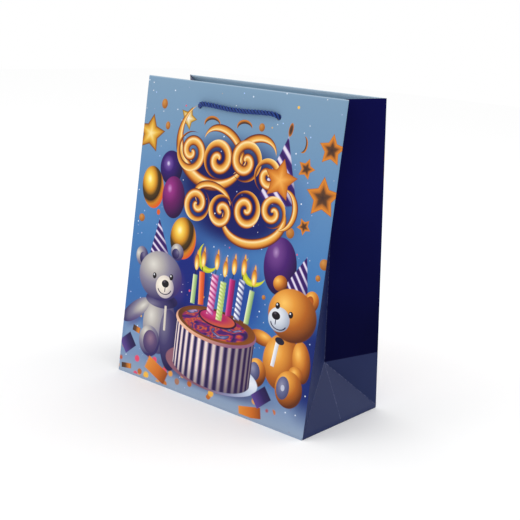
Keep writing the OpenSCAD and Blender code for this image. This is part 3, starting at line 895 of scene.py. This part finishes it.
def triangle_pleat(name, hand, seed):
    """The triangle that leans in above the bottom, with the upright strip below its fold."""
    steps = 24
    rows = [0] + spread(0, 1, steps)

    def place(column, row):
        along = column / steps
        low = edge_point(FRONT, 0.5).lerp(edge_point(BACK, 0.5), along)
        fold = edge_point(FRONT, FOLD_UP).lerp(edge_point(BACK, FOLD_UP), along)
        if row == 0:
            point = low
        else:
            rise = rows[row]
            point = fold.lerp(Vector(APEX), rise)
            bow = math.sin(math.pi * along) * math.sin(math.pi * rise)
            point.x += 0.6 * bow * (1 + ripple(point.y, point.z, seed))
        return Vector((point.x * hand, point.y, point.z))

    # The triangle takes the navy copy with painted light
    return grid_sheet(name, steps, len(rows) - 1, place, (hand, 0, 0), NAVY_PAINTED_LIGHT)


pleats = {}
for word, hand in (("right", 1), ("left", -1)):
    pleats[word] = {
        "front": half_pleat(word + "_pleat_front_sheet", FRONT, hand, FOLD_UP, 21.0 + hand),
        "back": half_pleat(word + "_pleat_back_sheet", BACK, hand, LEVEL_UP, 31.0 + hand),
        "corner": corner_pleat(word + "_pleat_corner_sheet", hand, 41.0 + hand),
        "triangle": triangle_pleat(word + "_pleat_triangle_sheet", hand, 51.0 + hand),
    }

# ---- rope handles
# Half of each route, across from the middle and up from the rope's own height. The tails also have a depth
# behind the panel's face, negative in front of it.

STRETCH = [(0, -1.7), (11, -1.5), (22, -0.9), (32, -0.3), (42.2, 0)]
TAIL_START = [(44, -3.3, 0), (47.2, -2.8, -0.3), (50, -1.3, -1.2), (52, 1, -2.5), (53.4, 3.3, -4.5),
              (54.2, 4.7, -7.3), (54.5, 5.3, -10.5)]
TAIL_IN = [(54.2, 5.7, -15), (53, 6.5, -23), (50.5, 7.6, -34), (48, 8.8, -46), (46.5, 9.8, -56),
           (46, 10.8, -66)]
TAIL_OUT = [(54.8, 5.7, -15), (56, 6.5, -23), (58.5, 7.6, -34), (61, 8.8, -46), (62.5, 9.8, -56),
            (63, 10.8, -66)]
SPLIT_X = 42.35  # where the swinging stretch meets the tails
STRAND_RADIUS = 1.25
STRAND_OFFSET = 1.3
TWIST_PITCH = 12.5
ROPE_SAMPLE = 0.7
KNOT_LENGTH = 11
KNOT_SCALE = 0.82  # the rope is pulled thinner in its knot
STUB_LENGTH = 8
WRAP_TURNS, WRAP_RADIUS, WRAP_LENGTH = 1.7, 3.1, 6.4
WRAP_STEPS = 32


def smooth_line(points, step):
    """A Catmull-Rom line through the points, with a sample about every step."""
    ends = [2 * points[0] - points[1], *points, 2 * points[-1] - points[-2]]
    line = []
    for a, b, c, d in zip(ends, ends[1:], ends[2:], ends[3:]):
        count = max(1, round((c - b).length / step))
        for i in range(count):
            t = i / count
            line.append(0.5 * (2 * b + t * (c - a) + t * t * (2 * a - 5 * b + 4 * c - d)
                               + t ** 3 * (3 * b - a - 3 * c + d)))
    line.append(points[-1].copy())
    return line


def carried_frames(line):
    """At each sample: the point, two square directions that don't spin, and the way along the line."""
    frames, along = [], 0.0
    aim = (line[1] - line[0]).normalized()
    across = aim.orthogonal().normalized()
    for i, point in enumerate(line):
        ahead = (line[min(i + 1, len(line) - 1)] - line[max(i - 1, 0)]).normalized()
        across = aim.rotation_difference(ahead) @ across
        aim = ahead
        if i:
            along += (point - line[i - 1]).length
        frames.append((point, across.copy(), aim.cross(across), along))
    return frames


def twisted_mesh(name, runs, scale=1.0):
    """Three round strands laid round each run of frames, with the fibres' lay kept in a UV map."""
    sides = 9
    points, faces, layout = [], [], []
    for frames in runs:
        for strand in range(3):
            start = len(points)
            centres = []
            for point, across, other, along in frames:
                turn = 2 * math.pi * (along / TWIST_PITCH + strand / 3)
                offset = STRAND_OFFSET * scale
                centres.append(point + offset * (math.cos(turn) * across + math.sin(turn) * other))
            for i, centre in enumerate(centres):
                ahead = (centres[min(i + 1, len(centres) - 1)] - centres[max(i - 1, 0)]).normalized()
                outward = (centre - frames[i][0]).normalized()
                outward = (outward - ahead * outward.dot(ahead)).normalized()
                side_way = ahead.cross(outward)
                last = i in (0, len(centres) - 1)
                radius = STRAND_RADIUS * scale * (0.8 if last else 1)
                for k in range(sides):
                    angle = 2 * math.pi * k / sides
                    rim = math.cos(angle) * outward + math.sin(angle) * side_way
                    points.append(centre + radius * rim)
                    layout.append((0.5 + 0.5 * math.cos(angle), frames[i][3] / 5))
            for i in range(len(centres) - 1):
                for k in range(sides):
                    a, b = start + i * sides + k, start + i * sides + (k + 1) % sides
                    faces.append((a, b, b + sides, a + sides))
            faces.append(tuple(start + k for k in reversed(range(sides))))
            faces.append(tuple(start + (len(centres) - 1) * sides + k for k in range(sides)))
    mesh = bpy.data.meshes.new(name)
    mesh.from_pydata([p * MM for p in points], [], faces)
    uv = mesh.uv_layers.new(name="lay")
    for loop in mesh.loops:
        uv.data[loop.index].uv = layout[loop.vertex_index]
    mesh.materials.append(ROPE)
    mesh.polygons.foreach_set("use_smooth", [True] * len(mesh.polygons))
    piece = bpy.data.objects.new(name, mesh)
    bpy.context.scene.collection.objects.link(piece)
    return piece


def knot_runs(top):
    """A pulled-down overhand knot: the rope's short end and the bight that wraps round it."""
    drops = (0, 4, 8, KNOT_LENGTH, KNOT_LENGTH + 4, KNOT_LENGTH + STUB_LENGTH)
    core = smooth_line([top + Vector((0, 0, -z)) for z in drops], 0.8)
    wrap = []
    for i in range(WRAP_STEPS + 1):
        share = i / WRAP_STEPS
        turn = 2 * math.pi * WRAP_TURNS * share
        radius = WRAP_RADIUS * min(1, 0.35 + 6 * min(share, 1 - share))
        height = -2.4 - WRAP_LENGTH * share
        wrap.append(top + Vector((radius * math.cos(turn), radius * math.sin(turn), height)))
    return [carried_frames(core), carried_frames(smooth_line(wrap, 0.8))]


def rope_handle(word, side, tail_end):
    """One rope, from knot to knot: its outer stretch swings and its two tails hang inside."""
    half = [(x, -ROPE_OUT, z) for x, z in STRETCH] + TAIL_START + tail_end
    route = [(-x, depth, z) for x, depth, z in half[:0:-1]] + half
    points = [panel_point(side, x, ROPE_UP + z, -depth) for x, depth, z in route]
    frames = carried_frames(smooth_line(points, ROPE_SAMPLE))
    inner = [f for f in frames if abs(f[0].x) <= SPLIT_X]
    left = [f for f in frames if f[0].x <= -SPLIT_X + ROPE_SAMPLE and f[3] < inner[0][3] + 0.8]
    right = [f for f in frames if f[0].x >= SPLIT_X - ROPE_SAMPLE and f[3] > inner[-1][3] - 0.1]
    stretch = twisted_mesh(word + "_rope_stretch", [inner])
    made = [(stretch, inner, f"{word}_handle_rope", word + "_handle", "object", "taut", [])]
    for name, run in (("left", left[::-1]), ("right", right)):
        tail = twisted_mesh(f"{word}_rope_tail_{name}_strands", [run if name == "right" else run[::-1]])
        knot = twisted_mesh(f"{word}_rope_knot_{name}", knot_runs(run[-1][0]), KNOT_SCALE)
        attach(knot, word)
        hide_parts(f"{word}_knot_{name}")
        made.append((tail, run, f"{word}_rope_tail_{name}", word, "knot", "hanging", [knot]))
    for piece, run, node, body, far_end, lay, others in made:
        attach(piece, body)
        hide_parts(node)


rope_handle("front", FRONT, TAIL_IN)
rope_handle("back", BACK, TAIL_OUT)

# ---- what each sheet rides on, and what it stands for

for piece, body, slot_name, nodes in (
        (front_sheet, "front", "printed_paper", ("front_panel", "front_hem")),
        (back_sheet, "back", "printed_paper", ("back_panel", "back_hem")),
        (foot, "back_foot", "printed_paper", ("back_panel_foot",))):
    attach(piece, body)
    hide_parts(*nodes)


def folded_plane(side, low, high):
    """The plane a folded pleat lies in, low mm inside its panel at the foot and high at the mouth."""
    foot_point = panel_point(side, 0, 0, -low)
    run = panel_point(side, 0, PANEL_LENGTH, -high) - foot_point
    return Vector((0, side * run.z, -side * run.y)).normalized(), foot_point


# Each pleat rides on its panel's body in place of its imported parts, with a mesh of its own; the plane a
# folded pleat would lie in and the share of its depth it would keep, about a hundredth, are listed but not
# used
for word, parts in pleats.items():
    for part, body, plane, keep, nodes in (
            ("front", "front", folded_plane(FRONT, 0.8, 2.3), 0.012,
             ("pleat_front", "pleat_hem_front")),
            ("back", "back", folded_plane(BACK, 0.8, 2.3), 0.012, ("pleat_back", "pleat_hem_back")),
            ("corner", "back_foot", folded_plane(BACK, 0.45, 0.45), 0.004, ("pleat_corner",)),
            ("triangle", "base", (Vector((0, 0, 1)), Vector((0, 0, 2.5))), 0.004, ("pleat_triangle",))):
        piece = parts[part]
        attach(piece, body)
        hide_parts(*(f"{word}_{node}" for node in nodes))
        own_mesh(piece)

# ---- the imported parts that show as they are

# The dust flaps take the navy copy with painted shade
for node, material in (
        ("front_base_flap", BOTTOM), ("back_base_flap", BOTTOM), ("left_dust_flap", NAVY_PAINTED_SHADE),
        ("right_dust_flap", NAVY_PAINTED_SHADE), ("seam_flap", WHITE), ("seam_flap_foot", WHITE),
        ("base_board", BOARD), ("front_stiffener", BOARD), ("back_stiffener", BOARD)):
    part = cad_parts[node]
    part.data.materials.clear()
    part.data.materials.append(material)

# ---- floor, light and camera


def studio_floor():
    bpy.ops.mesh.primitive_plane_add(size=8)
    floor = bpy.context.object
    floor.name = "studio_floor"
    material, tree, _ = new_material("plain_white_floor")
    finish_material(tree, "fdfdfd", Roughness=0.9, Specular_IOR_Level=0.0)
    floor.data.materials.append(material)


def area_light(name, where, aim, size, power):
    light = bpy.data.lights.new(name, "AREA")
    light.shape, light.size, light.energy = "DISK", size, power
    lamp = bpy.data.objects.new(name, light)
    lamp.location = where
    lamp.rotation_mode = "QUATERNION"
    lamp.rotation_quaternion = (Vector(aim) - Vector(where)).to_track_quat("-Z", "Y")
    bpy.context.scene.collection.objects.link(lamp)


studio_floor()
world = bpy.data.worlds.new("soft_white_room")
world.use_nodes = True
world.node_tree.nodes["Background"].inputs["Color"].default_value = (1, 1, 1, 1)
world.node_tree.nodes["Background"].inputs["Strength"].default_value = 1.0
bpy.context.scene.world = world
area_light("key_softbox", (-0.9, -1.5, 1.5), (0, 0, 0.15), 1.4, 7)
area_light("back_right_softbox", (1.1, 1.4, 0.9), (0.1, 0, 0.1), 1.2, 5)
bpy.context.scene.view_settings.view_transform = "Standard"


def camera():
    """Seen from the right of the front, a little above, with a slight roll."""
    azimuth, elevation, roll = (math.radians(a) for a in (39.36, 13.75, 3.58))
    target, distance = Vector((0.012, 0, 0.1453)), 1.0691
    back = Vector((math.sin(azimuth) * math.cos(elevation), -math.cos(azimuth) * math.cos(elevation),
                   math.sin(elevation)))
    right = Vector((math.cos(azimuth), math.sin(azimuth), 0))
    up = back.cross(right)
    rolled_right = math.cos(roll) * right + math.sin(roll) * up
    rolled_up = math.cos(roll) * up - math.sin(roll) * right
    lens = bpy.data.cameras.new("studio_camera")
    lens.lens, lens.sensor_width = 70.99, 36
    eye = bpy.data.objects.new("studio_camera", lens)
    turn = Matrix((rolled_right, rolled_up, back)).transposed()
    eye.matrix_world = Matrix.Translation(target + back * distance) @ turn.to_4x4()
    bpy.context.scene.collection.objects.link(eye)
    bpy.context.scene.camera = eye


camera()
